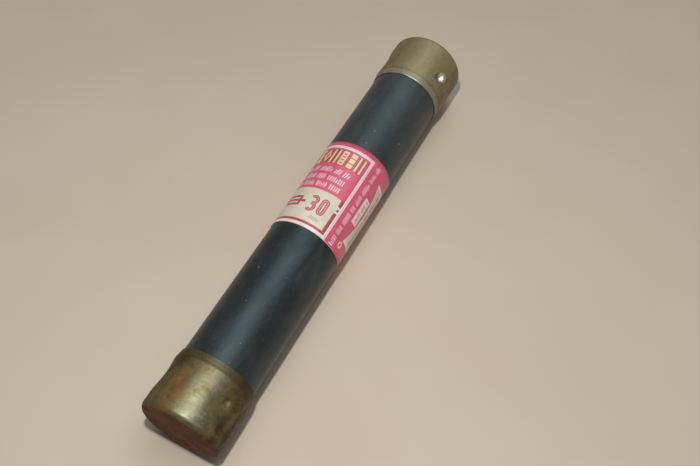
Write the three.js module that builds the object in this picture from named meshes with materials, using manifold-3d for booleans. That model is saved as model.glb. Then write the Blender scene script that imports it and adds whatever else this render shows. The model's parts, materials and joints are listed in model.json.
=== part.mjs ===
// Ferrule-type cartridge fuse with a dual element: a fibre tube, two brass ferrules, a paper label,
// two short-circuit links in filler, and a spring-loaded overload trigger in the middle chamber.
// Millimetres, +Z up, +X along the fuse, origin on the axis at the middle of the length.
import * as THREE from 'three';
import { mergeVertices } from 'three/addons/utils/BufferGeometryUtils.js';
import Module from 'manifold-3d';

const wasm = await Module();
wasm.setup();

// ---------------------------------------------------------------- driving dimensions
const FUSE_LENGTH = 127;
const FERRULE_DIAMETER = 20.6;
const FERRULE_LENGTH = 15.9;
const FERRULE_WALL = 0.6;
const FERRULE_END_WALL = 0.9;
const FERRULE_CORNER = 1.6;
const FERRULE_INNER_CORNER = 0.8;
const FERRULE_TAPER = 0.15; // the drawn cup is a little slimmer before its rim than at its end
const FERRULE_TAPER_LENGTH = 9;
const RIM_SLOPE_LENGTH = 2.2;
const RIM_EDGE = 0.25;
const TUBE_DIAMETER = 19.1;
const TUBE_WALL = 1.6;

const DIMPLE_FROM_END = 9.2;
const DIMPLE_ANGLES = [-50, 70, 190];
const DIMPLE_RADIUS = 1.6;
const DIMPLE_DEPTH = 0.7;

const LABEL_START = -8.6;
const LABEL_LENGTH = 28.4;
const LABEL_THICKNESS = 0.15;

const CHAMBER_HALF_LENGTH = 20.1;
const LINER_WALL = 0.65;
const PARTITION_THICKNESS = 1.5;
const WASHER_THICKNESS = 0.75;
const WASHER_RADIUS = 9.1;
const SOLDER_RADIUS = 4.4;
const SOLDER_THICKNESS = 0.75;
const SOLDER_CHAMFER = 0.4;

const LINK_WIDTH = 5.2;
const LINK_THICKNESS = 0.35;
const LINK_NECK = 1.6;
const LINK_NOTCH_RADIUS = 1.3;
const LINK_NOTCHES = [28, 36, 44, 52];

const HEATER_WIDTH = 4;
const HEATER_THICKNESS = 0.3;
const HEATER_RUNS = 5;
const HEATER_WAVE_HEIGHT = 2.3;
const HEATER_BEND_STEPS = 6;

const ABSORBER_LENGTH = 9;
const ABSORBER_WIDTH = 8;
const ABSORBER_HEIGHT = 6.4;
const ABSORBER_BORE_RADIUS = 2;
const ABSORBER_CHAMFER = 0.8;
const ABSORBER_BORE_DEPTH = 5;
const ALLOY_GAP = 0.15;
const PLUNGER_PIN_RADIUS = 1.1;
const PLUNGER_PIN_CHAMFER = 0.3;
const PLUNGER_TIP_CLEARANCE = 0.2;
const PLUNGER_COLLAR_RADIUS = 3.3;
const SLEEVE_BORE_RADIUS = 3.6;
const SLEEVE_WALL = 0.6;
const SLEEVE_LENGTH = 15;

const SPRING_NECK_RADIUS = 0.5;
const SPRING_BUTTON_RADIUS = 1.25;
const SPRING_END_RADIUS = 0.95;
const SPRING_RADIUS = 2.2;
const SPRING_WIRE_RADIUS = 0.22;
const SPRING_TURNS = 8;
const SPRING_END_TURNS = 0.75;
const SPRING_WIDENING_TURNS = 0.5;

const RIVET_RADIUS = 0.7;
const RIVET_HEAD_RADIUS = 1.4;
const RIVET_HEAD_HEIGHT = 0.5;

const FIT_GAP = 0.1; // between round pieces that touch on the real fuse
const TUBE_GAP = 0.05; // between the tube and the label
const CUT_GAP = 0.3; // round a piece that passes through another

const ROUND_SEGMENTS = 40;
const SMALL_SEGMENTS = 16;
const ARC_STEPS = 4;

// ---------------------------------------------------------------- places along the axis
const HALF = FUSE_LENGTH / 2;
const FERRULE_RADIUS = FERRULE_DIAMETER / 2;
const TUBE_RADIUS = TUBE_DIAMETER / 2;
const TUBE_BORE = TUBE_RADIUS - TUBE_WALL;
const INSIDE_RADIUS = TUBE_BORE - FIT_GAP;
const CUP_FLOOR = HALF - FERRULE_END_WALL;
const SOLDER_END = CUP_FLOOR - FIT_GAP;
const SOLDER_START = SOLDER_END - SOLDER_THICKNESS;
const WASHER_END = SOLDER_START - FIT_GAP;
const WASHER_START = WASHER_END - WASHER_THICKNESS;
const TUBE_END = WASHER_START - FIT_GAP;
const PARTITION_START = CHAMBER_HALF_LENGTH + FIT_GAP;
const PARTITION_END = PARTITION_START + PARTITION_THICKNESS;
const FILLER_START = PARTITION_END + FIT_GAP;
const FILLER_END = TUBE_END - FIT_GAP;
const LINK_END = (SOLDER_START + SOLDER_END) / 2;

const ABSORBER_RIGHT = -2;
const ABSORBER_LEFT = ABSORBER_RIGHT - ABSORBER_LENGTH;
const ABSORBER_SLOT_DEPTH = 3.2;
const ABSORBER_RIVET_X = ABSORBER_LEFT + ABSORBER_SLOT_DEPTH / 2;
const HEATER_RIVET_X = -18.2;
const LEFT_LINK_TIP = -16.6;
const HEATER_TAB_LEFT = -19.6;
const HEATER_WAVE_LEFT = -15.9;
const HEATER_WAVE_RIGHT = -11.7;
const HEATER_TAB_RIGHT = ABSORBER_LEFT + ABSORBER_SLOT_DEPTH - CUT_GAP;
const HEATER_TAB_Z = -(LINK_THICKNESS + HEATER_THICKNESS) / 2 - FIT_GAP;

const COLLAR_START = 0.6;
const COLLAR_END = 2.2;
const SPRING_NECK_LENGTH = 1;
const SPRING_BUTTON_LENGTH = 0.6;
const ANCHOR_FACE = 13.6;
const ANCHOR_TONGUE_START = 16.1;
const ANCHOR_TONGUE_END = 19.2;
const ANCHOR_TONGUE_RADIUS = 2.9;
const ANCHOR_RIVET_X = 17.9;
const RIGHT_LINK_TIP = 16.8;

// ---------------------------------------------------------------- materials
function material(color, roughness, metalness) {
  return new THREE.MeshStandardMaterial({ color, roughness, metalness });
}

const BRASS = () => material(0x6f6236, 0.45, 0.9);
const FIBRE_BLACK = () => material(0x24282c, 0.6, 0);
const LABEL_PAPER = () => material(0xb03a52, 0.7, 0);
const FIBRE_GREY = () => material(0x8a8578, 0.85, 0);
const SOLDER = () => material(0xa9abad, 0.4, 0.9);
const COPPER = () => material(0xb0633d, 0.35, 1);
const PLASTER = () => material(0xd9d3c4, 0.95, 0);
const RESISTANCE_ALLOY = () => material(0x8d8780, 0.35, 1);
const SPRING_STEEL = () => material(0x9a9da0, 0.3, 1);

// ---------------------------------------------------------------- geometry helpers
// A profile of (radius, place along the axis) turned round the X axis.
function turned(profile, segments = ROUND_SEGMENTS) {
  const points = profile.map(([radius, along]) => new THREE.Vector2(radius, along));
  return new THREE.LatheGeometry(points, segments).rotateZ(-Math.PI / 2);
}

function disc(radius, start, end, segments = ROUND_SEGMENTS) {
  return turned([[0, start], [radius, start], [radius, end], [0, end]], segments);
}

function ring(innerRadius, outerRadius, start, end, segments = ROUND_SEGMENTS) {
  const profile = [
    [innerRadius, start],
    [outerRadius, start],
    [outerRadius, end],
    [innerRadius, end],
    [innerRadius, start],
  ];
  return turned(profile, segments);
}

function arc(centreRadius, centreAlong, size, startAngle, endAngle) {
  const points = [];
  for (let step = 0; step <= ARC_STEPS; step += 1) {
    const angle = THREE.MathUtils.degToRad(
      THREE.MathUtils.lerp(startAngle, endAngle, step / ARC_STEPS),
    );
    points.push([centreRadius + size * Math.cos(angle), centreAlong + size * Math.sin(angle)]);
  }
  return points;
}

function block(start, end, width, height) {
  return new THREE.BoxGeometry(end - start, width, height).translate((start + end) / 2, 0, 0);
}

function uprightPin(radius, height, x) {
  return new THREE.CylinderGeometry(radius, radius, height, SMALL_SEGMENTS)
    .rotateX(Math.PI / 2)
    .translate(x, 0, 0);
}

// The same shape on the other side of the YZ plane, with its faces still pointing out.
function mirrored(geometry) {
  const copy = mergeVertices(bare(geometry)).scale(-1, 1, 1);
  const index = copy.index.array;
  for (let corner = 0; corner < index.length; corner += 3) {
    [index[corner], index[corner + 1]] = [index[corner + 1], index[corner]];
  }
  return copy;
}

function bare(geometry) {
  const copy = geometry.clone();
  copy.deleteAttribute('normal');
  copy.deleteAttribute('uv');
  return copy;
}

function solid(geometry) {
  const merged = mergeVertices(bare(geometry));
  const index = merged.index.array;
  const triangles = [];
  for (let corner = 0; corner < index.length; corner += 3) {
    const [a, b, c] = index.slice(corner, corner + 3);
    if (a !== b && b !== c && c !== a) {
      triangles.push(a, b, c);
    }
  }
  const mesh = new wasm.Mesh({
    numProp: 3,
    vertProperties: new Float32Array(merged.attributes.position.array),
    triVerts: new Uint32Array(triangles),
  });
  return new wasm.Manifold(mesh);
}

function geometryOf(body) {
  const mesh = body.getMesh();
  const geometry = new THREE.BufferGeometry();
  geometry.setAttribute('position', new THREE.BufferAttribute(mesh.vertProperties, 3));
  geometry.setIndex(new THREE.BufferAttribute(mesh.triVerts, 1));
  geometry.computeVertexNormals();
  return geometry;
}

function carved(geometry, cutters) {
  let body = solid(geometry);
  for (const cutter of cutters) {
    body = body.subtract(solid(cutter));
  }
  return geometryOf(body);
}

function linkSlot(start, end) {
  return block(start, end, LINK_WIDTH + 2 * CUT_GAP, LINK_THICKNESS + 2 * CUT_GAP);
}

// ---------------------------------------------------------------- casing
// Spheres centred just outside the ferrule: the dent, its inner bump and the tube's recess share them.
function dimpleSpheres(radius, x) {
  const offset = FERRULE_RADIUS + DIMPLE_RADIUS - DIMPLE_DEPTH;
  return DIMPLE_ANGLES.map((degrees) => {
    const angle = THREE.MathUtils.degToRad(degrees);
    return new THREE.SphereGeometry(radius, SMALL_SEGMENTS, SMALL_SEGMENTS / 2)
      .translate(x, offset * Math.sin(angle), offset * Math.cos(angle));
  });
}

function casingTube() {
  const recess = DIMPLE_RADIUS + FERRULE_WALL + CUT_GAP;
  const x = HALF - DIMPLE_FROM_END;
  const tube = ring(TUBE_BORE, TUBE_RADIUS, -TUBE_END, TUBE_END);
  return carved(tube, [...dimpleSpheres(recess, x), ...dimpleSpheres(recess, -x)]);
}

function ferruleCup() {
  const inside = FERRULE_RADIUS - FERRULE_WALL;
  const rim = HALF - FERRULE_LENGTH;
  const rimBore = TUBE_RADIUS + FIT_GAP;
  const innerCentre = CUP_FLOOR - FERRULE_INNER_CORNER;
  return turned([
    [0, CUP_FLOOR],
    ...arc(inside - FERRULE_INNER_CORNER, innerCentre, FERRULE_INNER_CORNER, 90, 0),
    [inside, rim + RIM_SLOPE_LENGTH],
    [rimBore, rim + RIM_EDGE],
    [rimBore, rim],
    [rimBore + RIM_EDGE, rim],
    [FERRULE_RADIUS - FERRULE_TAPER, rim + RIM_SLOPE_LENGTH],
    [FERRULE_RADIUS, rim + FERRULE_TAPER_LENGTH],
    ...arc(FERRULE_RADIUS - FERRULE_CORNER, HALF - FERRULE_CORNER, FERRULE_CORNER, 0, 90),
    [0, HALF],
  ]);
}

function ferrule() {
  const x = HALF - DIMPLE_FROM_END;
  const reach = 2 * DIMPLE_RADIUS;
  const within = solid(disc(FERRULE_RADIUS - FERRULE_WALL / 2, x - reach, x + reach));
  let body = solid(ferruleCup());
  for (const bump of dimpleSpheres(DIMPLE_RADIUS + FERRULE_WALL, x)) {
    body = body.add(solid(bump).intersect(within));
  }
  for (const dent of dimpleSpheres(DIMPLE_RADIUS, x)) {
    body = body.subtract(solid(dent));
  }
  return geometryOf(body);
}

function labelWrap() {
  const inner = TUBE_RADIUS + TUBE_GAP;
  return ring(inner, inner + LABEL_THICKNESS, LABEL_START, LABEL_START + LABEL_LENGTH);
}

// ---------------------------------------------------------------- pieces at each end
function endWasher() {
  const plate = disc(WASHER_RADIUS, WASHER_START, WASHER_END);
  return carved(plate, [linkSlot(WASHER_START - 1, WASHER_END + 1)]);
}

function endSolder() {
  const lump = turned([
    [0, SOLDER_START],
    [SOLDER_RADIUS - SOLDER_CHAMFER, SOLDER_START],
    [SOLDER_RADIUS, SOLDER_START + SOLDER_CHAMFER],
    [SOLDER_RADIUS, SOLDER_END],
    [0, SOLDER_END],
  ], SMALL_SEGMENTS);
  return carved(lump, [linkSlot(SOLDER_START - 1, SOLDER_END + 1)]);
}

function filler() {
  const plug = disc(INSIDE_RADIUS, FILLER_START, FILLER_END);
  return carved(plug, [linkSlot(FILLER_START - 1, FILLER_END + 1)]);
}

function partition() {
  const plate = disc(INSIDE_RADIUS, PARTITION_START, PARTITION_END);
  return carved(plate, [linkSlot(PARTITION_START - 1, PARTITION_END + 1)]);
}

function chamberLiner() {
  const bore = INSIDE_RADIUS - LINER_WALL;
  return ring(bore, INSIDE_RADIUS, -CHAMBER_HALF_LENGTH, CHAMBER_HALF_LENGTH);
}

// A flat strip whose two long edges have round bites that leave the narrow necks, and a rivet hole.
function link(tip, rivetX) {
  const edge = LINK_WIDTH / 2;
  const centre = LINK_NECK / 2 + LINK_NOTCH_RADIUS;
  const side = Math.asin((edge - centre) / LINK_NOTCH_RADIUS);
  const reach = LINK_NOTCH_RADIUS * Math.cos(side);
  const outline = new THREE.Shape();
  outline.moveTo(tip, -edge);
  for (const x of LINK_NOTCHES) {
    outline.lineTo(x - reach, -edge);
    outline.absarc(x, -centre, LINK_NOTCH_RADIUS, Math.PI + side, -side, true);
  }
  outline.lineTo(LINK_END, -edge);
  outline.lineTo(LINK_END, edge);
  for (const x of [...LINK_NOTCHES].reverse()) {
    outline.lineTo(x + reach, edge);
    outline.absarc(x, centre, LINK_NOTCH_RADIUS, side, Math.PI - side, true);
  }
  outline.lineTo(tip, edge);
  const hole = new THREE.Path().absarc(rivetX, 0, RIVET_RADIUS + CUT_GAP, 0, 2 * Math.PI, true);
  outline.holes.push(hole);
  const options = { depth: LINK_THICKNESS, bevelEnabled: false, curveSegments: 6 };
  return new THREE.ExtrudeGeometry(outline, options).translate(0, 0, -LINK_THICKNESS / 2);
}

// ---------------------------------------------------------------- overload trigger in the middle chamber
// Upright runs joined by half circles, between the tab under the link and the tab in the absorber.
function heaterCentreLine() {
  const spacing = (HEATER_WAVE_RIGHT - HEATER_WAVE_LEFT) / (HEATER_RUNS - 1);
  const points = [new THREE.Vector2(HEATER_TAB_LEFT, HEATER_TAB_Z)];
  points.push(new THREE.Vector2(HEATER_WAVE_LEFT, HEATER_TAB_Z));
  for (let run = 0; run < HEATER_RUNS - 1; run += 1) {
    const side = run % 2 === 0 ? 1 : -1;
    const centre = HEATER_WAVE_LEFT + (run + 0.5) * spacing;
    for (let step = 0; step <= HEATER_BEND_STEPS; step += 1) {
      const angle = Math.PI * (1 - step / HEATER_BEND_STEPS);
      const x = centre + (spacing / 2) * Math.cos(angle);
      const z = side * (HEATER_WAVE_HEIGHT + (spacing / 2) * Math.sin(angle));
      points.push(new THREE.Vector2(x, z));
    }
  }
  points.push(new THREE.Vector2(HEATER_WAVE_RIGHT, 0));
  points.push(new THREE.Vector2(HEATER_TAB_RIGHT, 0));
  return points;
}

function ribbonOutline(line, thickness) {
  const upper = [];
  const lower = [];
  line.forEach((point, at) => {
    const before = line[Math.max(at - 1, 0)];
    const after = line[Math.min(at + 1, line.length - 1)];
    const along = after.clone().sub(before).normalize().multiplyScalar(thickness / 2);
    upper.unshift(new THREE.Vector2(point.x - along.y, point.y + along.x));
    lower.push(new THREE.Vector2(point.x + along.y, point.y - along.x));
  });
  return new THREE.Shape([...lower, ...upper]);
}

function heaterStrip() {
  const outline = ribbonOutline(heaterCentreLine(), HEATER_THICKNESS);
  const strip = new THREE.ExtrudeGeometry(outline, { depth: HEATER_WIDTH, bevelEnabled: false })
    .rotateX(Math.PI / 2)
    .translate(0, HEATER_WIDTH / 2, 0);
  const holes = [HEATER_RIVET_X, ABSORBER_RIVET_X].map((x) => uprightPin(RIVET_RADIUS + CUT_GAP, 3, x));
  return carved(strip, holes);
}

// A bar with an eight-sided section, a slot for the heater's tab and a bore for the plunger's pin.
function heatAbsorber() {
  const halfHeight = ABSORBER_HEIGHT / 2;
  const halfWidth = ABSORBER_WIDTH / 2;
  const section = [];
  for (const [up, across] of [[-1, -1], [1, -1], [1, 1], [-1, 1]]) {
    const sideways = new THREE.Vector2(up * halfHeight, across * (halfWidth - ABSORBER_CHAMFER));
    const upward = new THREE.Vector2(up * (halfHeight - ABSORBER_CHAMFER), across * halfWidth);
    section.push(...(up === across ? [sideways, upward] : [upward, sideways]));
  }
  const options = { depth: ABSORBER_LENGTH, bevelEnabled: false };
  const bar = new THREE.ExtrudeGeometry(new THREE.Shape(section), options)
    .rotateY(Math.PI / 2)
    .translate(ABSORBER_LEFT, 0, 0);
  const boreStart = ABSORBER_RIGHT - ABSORBER_BORE_DEPTH;
  const bore = disc(ABSORBER_BORE_RADIUS, boreStart, ABSORBER_RIGHT + 1, SMALL_SEGMENTS);
  const slotWidth = HEATER_WIDTH + 2 * CUT_GAP;
  const slotHeight = HEATER_THICKNESS + 2 * CUT_GAP;
  const slotEnd = ABSORBER_LEFT + ABSORBER_SLOT_DEPTH;
  const slot = block(ABSORBER_LEFT - 1, slotEnd, slotWidth, slotHeight);
  const hole = uprightPin(RIVET_RADIUS + CUT_GAP, ABSORBER_HEIGHT + 2, ABSORBER_RIVET_X);
  return carved(bar, [bore, slot, hole]);
}

// An upright rivet with a domed head under the lower face and another over the upper face.
function rivet(x, lowerFace, upperFace) {
  const low = lowerFace - FIT_GAP;
  const high = upperFace + FIT_GAP;
  const shoulder = 0.6 * RIVET_HEAD_RADIUS;
  const shoulderHeight = 0.85 * RIVET_HEAD_HEIGHT;
  const profile = [
    [0, low - RIVET_HEAD_HEIGHT],
    [shoulder, low - shoulderHeight],
    [RIVET_HEAD_RADIUS, low],
    [RIVET_RADIUS, low],
    [RIVET_RADIUS, high],
    [RIVET_HEAD_RADIUS, high],
    [shoulder, high + shoulderHeight],
    [0, high + RIVET_HEAD_HEIGHT],
  ];
  const points = profile.map(([radius, z]) => new THREE.Vector2(radius, z));
  return new THREE.LatheGeometry(points, SMALL_SEGMENTS).rotateX(Math.PI / 2).translate(x, 0, 0);
}

function fusingAlloy() {
  const start = ABSORBER_RIGHT - ABSORBER_BORE_DEPTH + CUT_GAP;
  const innerRadius = PLUNGER_PIN_RADIUS + ALLOY_GAP;
  return ring(innerRadius, ABSORBER_BORE_RADIUS - ALLOY_GAP, start, ABSORBER_RIGHT, SMALL_SEGMENTS);
}

function triggerPlunger() {
  const pinStart = ABSORBER_RIGHT - ABSORBER_BORE_DEPTH + PLUNGER_TIP_CLEARANCE;
  const neckEnd = COLLAR_END + SPRING_NECK_LENGTH;
  return turned([
    [0, pinStart],
    [PLUNGER_PIN_RADIUS - PLUNGER_PIN_CHAMFER, pinStart],
    [PLUNGER_PIN_RADIUS, pinStart + PLUNGER_PIN_CHAMFER],
    [PLUNGER_PIN_RADIUS, COLLAR_START],
    [PLUNGER_COLLAR_RADIUS, COLLAR_START],
    [PLUNGER_COLLAR_RADIUS, COLLAR_END],
    [SPRING_NECK_RADIUS, COLLAR_END],
    [SPRING_NECK_RADIUS, neckEnd],
    [SPRING_BUTTON_RADIUS, neckEnd],
    [SPRING_BUTTON_RADIUS, neckEnd + SPRING_BUTTON_LENGTH],
    [0, neckEnd + SPRING_BUTTON_LENGTH],
  ], SMALL_SEGMENTS);
}

function contactSleeve() {
  return ring(SLEEVE_BORE_RADIUS, SLEEVE_BORE_RADIUS + SLEEVE_WALL, 0, SLEEVE_LENGTH);
}

function springAnchor() {
  const neckStart = ANCHOR_FACE - SPRING_NECK_LENGTH;
  const flangeStart = SLEEVE_LENGTH + FIT_GAP;
  const plugRadius = SLEEVE_BORE_RADIUS - CUT_GAP;
  const plug = turned([
    [0, neckStart - SPRING_BUTTON_LENGTH],
    [SPRING_BUTTON_RADIUS, neckStart - SPRING_BUTTON_LENGTH],
    [SPRING_BUTTON_RADIUS, neckStart],
    [SPRING_NECK_RADIUS, neckStart],
    [SPRING_NECK_RADIUS, ANCHOR_FACE],
    [plugRadius, ANCHOR_FACE],
    [plugRadius, flangeStart],
    [SLEEVE_BORE_RADIUS + SLEEVE_WALL, flangeStart],
    [SLEEVE_BORE_RADIUS + SLEEVE_WALL, ANCHOR_TONGUE_START],
    [ANCHOR_TONGUE_RADIUS, ANCHOR_TONGUE_START],
    [ANCHOR_TONGUE_RADIUS, ANCHOR_TONGUE_END],
    [0, ANCHOR_TONGUE_END],
  ], SMALL_SEGMENTS);
  const hole = uprightPin(RIVET_RADIUS + CUT_GAP, 4 * ANCHOR_TONGUE_RADIUS, ANCHOR_RIVET_X);
  return carved(plug, [linkSlot(RIGHT_LINK_TIP - CUT_GAP, ANCHOR_TONGUE_END + 1), hole]);
}

// Each end of the spring is a small flat turn that sits on a neck behind a button head.
class SpringCurve extends THREE.Curve {
  getPoint(part, target = new THREE.Vector3()) {
    const turn = part * SPRING_TURNS;
    const fromEnd = Math.min(turn, SPRING_TURNS - turn);
    const flat = SPRING_END_TURNS + SPRING_WIDENING_TURNS;
    const widening = THREE.MathUtils.smoothstep(fromEnd, SPRING_END_TURNS, flat);
    const radius = THREE.MathUtils.lerp(SPRING_END_RADIUS, SPRING_RADIUS, widening);
    const advance = THREE.MathUtils.clamp((turn - flat) / (SPRING_TURNS - 2 * flat), 0, 1);
    const start = COLLAR_END + SPRING_NECK_LENGTH / 2;
    const end = ANCHOR_FACE - SPRING_NECK_LENGTH / 2;
    const angle = 2 * Math.PI * turn;
    return target.set(
      THREE.MathUtils.lerp(start, end, advance),
      radius * Math.cos(angle),
      radius * Math.sin(angle),
    );
  }
}

function triggerSpring() {
  const wire = new THREE.Shape().absarc(0, 0, SPRING_WIRE_RADIUS, 0, 2 * Math.PI, false);
  return new THREE.ExtrudeGeometry(wire, {
    steps: SPRING_TURNS * SMALL_SEGMENTS,
    curveSegments: 3,
    extrudePath: new SpringCurve(),
    bevelEnabled: false,
  });
}

// ---------------------------------------------------------------- assembly
const fuse = new THREE.Group();

function place(name, geometry, finish, parent = fuse) {
  const mesh = new THREE.Mesh(geometry, finish);
  mesh.name = name;
  parent.add(mesh);
}

function placePair(name, geometry, finish) {
  place(`${name}_left`, mirrored(geometry), finish());
  place(`${name}_right`, geometry, finish());
}

place('casing_tube', casingTube(), FIBRE_BLACK());
place('label_wrap', labelWrap(), LABEL_PAPER());
placePair('ferrule', ferrule(), BRASS);
placePair('end_washer', endWasher(), FIBRE_GREY);
placePair('end_solder', endSolder(), SOLDER);
placePair('filler', filler(), PLASTER);
placePair('partition', partition(), FIBRE_GREY);
place('link_left', mirrored(link(-LEFT_LINK_TIP, -HEATER_RIVET_X)), COPPER());
place('link_right', link(RIGHT_LINK_TIP, ANCHOR_RIVET_X), COPPER());

place('chamber_liner', chamberLiner(), FIBRE_GREY());
place('heater_strip', heaterStrip(), RESISTANCE_ALLOY());
place('heat_absorber', heatAbsorber(), COPPER());
place('fusing_alloy', fusingAlloy(), SOLDER());
place('trigger_plunger', triggerPlunger(), BRASS());
place('trigger_spring', triggerSpring(), SPRING_STEEL());
place('contact_sleeve', contactSleeve(), COPPER());
place('spring_anchor', springAnchor(), BRASS());

const heaterFace = HEATER_TAB_Z - HEATER_THICKNESS / 2;
place('heater_rivet', rivet(HEATER_RIVET_X, heaterFace, LINK_THICKNESS / 2), BRASS());
place('absorber_rivet', rivet(ABSORBER_RIVET_X, -ABSORBER_HEIGHT / 2, ABSORBER_HEIGHT / 2), BRASS());
place('anchor_rivet', rivet(ANCHOR_RIVET_X, -ANCHOR_TONGUE_RADIUS, ANCHOR_TONGUE_RADIUS), BRASS());

export default fuse;
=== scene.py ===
import json
import math
import random

import bmesh
import bpy
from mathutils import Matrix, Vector, geometry, noise


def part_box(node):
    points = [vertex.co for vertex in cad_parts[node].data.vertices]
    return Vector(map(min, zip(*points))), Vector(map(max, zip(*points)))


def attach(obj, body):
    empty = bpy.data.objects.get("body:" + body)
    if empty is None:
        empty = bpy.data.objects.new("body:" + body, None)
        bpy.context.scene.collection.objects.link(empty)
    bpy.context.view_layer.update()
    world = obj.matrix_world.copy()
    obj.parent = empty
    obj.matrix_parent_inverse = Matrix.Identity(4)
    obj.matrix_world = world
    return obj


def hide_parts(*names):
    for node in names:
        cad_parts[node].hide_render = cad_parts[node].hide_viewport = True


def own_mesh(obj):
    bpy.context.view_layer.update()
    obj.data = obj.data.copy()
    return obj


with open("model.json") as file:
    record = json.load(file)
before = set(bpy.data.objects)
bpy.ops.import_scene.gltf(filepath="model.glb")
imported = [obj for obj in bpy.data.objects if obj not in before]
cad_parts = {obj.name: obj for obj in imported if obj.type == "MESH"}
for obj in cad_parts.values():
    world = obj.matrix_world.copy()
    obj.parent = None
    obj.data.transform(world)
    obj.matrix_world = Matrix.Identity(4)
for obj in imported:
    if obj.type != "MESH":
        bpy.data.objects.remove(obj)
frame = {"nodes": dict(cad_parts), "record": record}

MM = 0.001
X, Z = 0, 2
LOW, HIGH = 0, 1
CAD_GAP = 0.1  # between CAD pieces that touch on the real fuse, in millimetres
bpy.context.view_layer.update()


def reach(node, axis, side):
    """A node's lowest or highest coordinate on an axis, in millimetres."""
    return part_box(node)[side][axis] / MM


TUBE_RADIUS = reach("casing_tube", Z, HIGH)
TUBE_END = reach("casing_tube", X, HIGH)
TUBE_BORE = reach("filler_right", Z, HIGH) + CAD_GAP
FERRULE_RADIUS = reach("ferrule_right", Z, HIGH)
FERRULE_END = reach("ferrule_right", X, HIGH)
FERRULE_RIM = reach("ferrule_right", X, LOW)
CUP_FLOOR = reach("end_solder_right", X, HIGH) + CAD_GAP
LABEL_START = reach("label_wrap", X, LOW)
LABEL_END = reach("label_wrap", X, HIGH)
FLOOR = reach("ferrule_right", Z, LOW)

# Each ferrule is staked to the tube in three places. The keys -1 and 1 are the ferrules at -X and +X.
STAKE_ANGLES = (-50, 70, 190)
STAKE_FROM_END = 9.2
STAKE_X = FERRULE_END - STAKE_FROM_END
PITS = {-1: (1.4, 1.1, 0.6), 1: (1.75, 1.2, 0.95)}  # half-length along the fuse, half-width and depth
HOLLOW_RADIUS = 5.2
HOLLOWS = {-1: (0.25, 0.40, 0.35), 1: (0.15, 0.35, 0.30)}  # depths at the three stakes
LIT_SIDE_ANGLE = math.radians(-14)  # the angle round the fuse where the highlight falls; the bare metal there is partly rubbed wear, partly painted highlight


# ---------------------------------------------------------------- camera, floor and light
VIEW_AZIMUTH = 28.4  # of the line of sight from +X, in degrees
VIEW_ELEVATION = 56.6
VIEW_DISTANCE = 219.4
VIEW_TARGET = (0.8, -8.2, 0.0)
LENS = 44.56
SENSOR_WIDTH = 36
KEY_PLACE = (-61, -30, 216)
KEY_RADIUS = 6
OVERHEAD_FROM = (-10, 66)  # its azimuth and elevation, in degrees
OVERHEAD_SPREAD = 50  # the angle that it fills, in degrees
FLOOR_REACH = 4000


def direction(azimuth, elevation):
    """A unit vector at an azimuth from +X and an elevation, both in degrees."""
    turn, rise = math.radians(azimuth), math.radians(elevation)
    level = math.cos(rise)
    return Vector((math.cos(turn) * level, math.sin(turn) * level, math.sin(rise)))


def add_object(name, data):
    obj = bpy.data.objects.new(name, data)
    bpy.context.scene.collection.objects.link(obj)
    return obj


def make_camera():
    data = bpy.data.cameras.new("camera")
    data.lens = LENS
    data.sensor_width = SENSOR_WIDTH
    data.clip_start = 0.01
    camera = add_object("camera", data)
    away = direction(VIEW_AZIMUTH + 180, VIEW_ELEVATION)
    camera.location = (Vector(VIEW_TARGET) + away * VIEW_DISTANCE) * MM
    camera.rotation_euler = away.to_track_quat("Z", "Y").to_euler()
    bpy.context.scene.camera = camera


def make_floor(material):
    mesh = bpy.data.meshes.new("floor")
    low, high, level = -FLOOR_REACH, FLOOR_REACH, FLOOR
    corners = [(low, low, level), (high, low, level), (high, high, level), (low, high, level)]
    mesh.from_pydata([Vector(corner) * MM for corner in corners], [], [(0, 1, 2, 3)])
    mesh.materials.append(material)
    add_object("floor", mesh)


def make_lights():
    """A small key close above the near end, a broad soft light from overhead and a pale room."""
    key = bpy.data.lights.new("key", "POINT")
    key.energy = 1.15
    key.color = (1.0, 0.97, 0.93)
    key.shadow_soft_size = KEY_RADIUS * MM
    add_object("key", key).location = Vector(KEY_PLACE) * MM

    soft = bpy.data.lights.new("overhead", "SUN")
    soft.energy = 0.9
    soft.color = (0.95, 0.97, 1.0)
    soft.angle = math.radians(OVERHEAD_SPREAD)
    away = direction(*OVERHEAD_FROM)
    add_object("overhead", soft).rotation_euler = away.to_track_quat("Z", "Y").to_euler()

    world = bpy.data.worlds.new("studio")
    world.use_nodes = True
    background = world.node_tree.nodes["Background"]
    background.inputs["Color"].default_value = (0.92, 0.94, 1.0, 1)
    background.inputs["Strength"].default_value = 0.15
    bpy.context.scene.world = world
    bpy.context.scene.view_settings.view_transform = "Standard"


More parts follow.
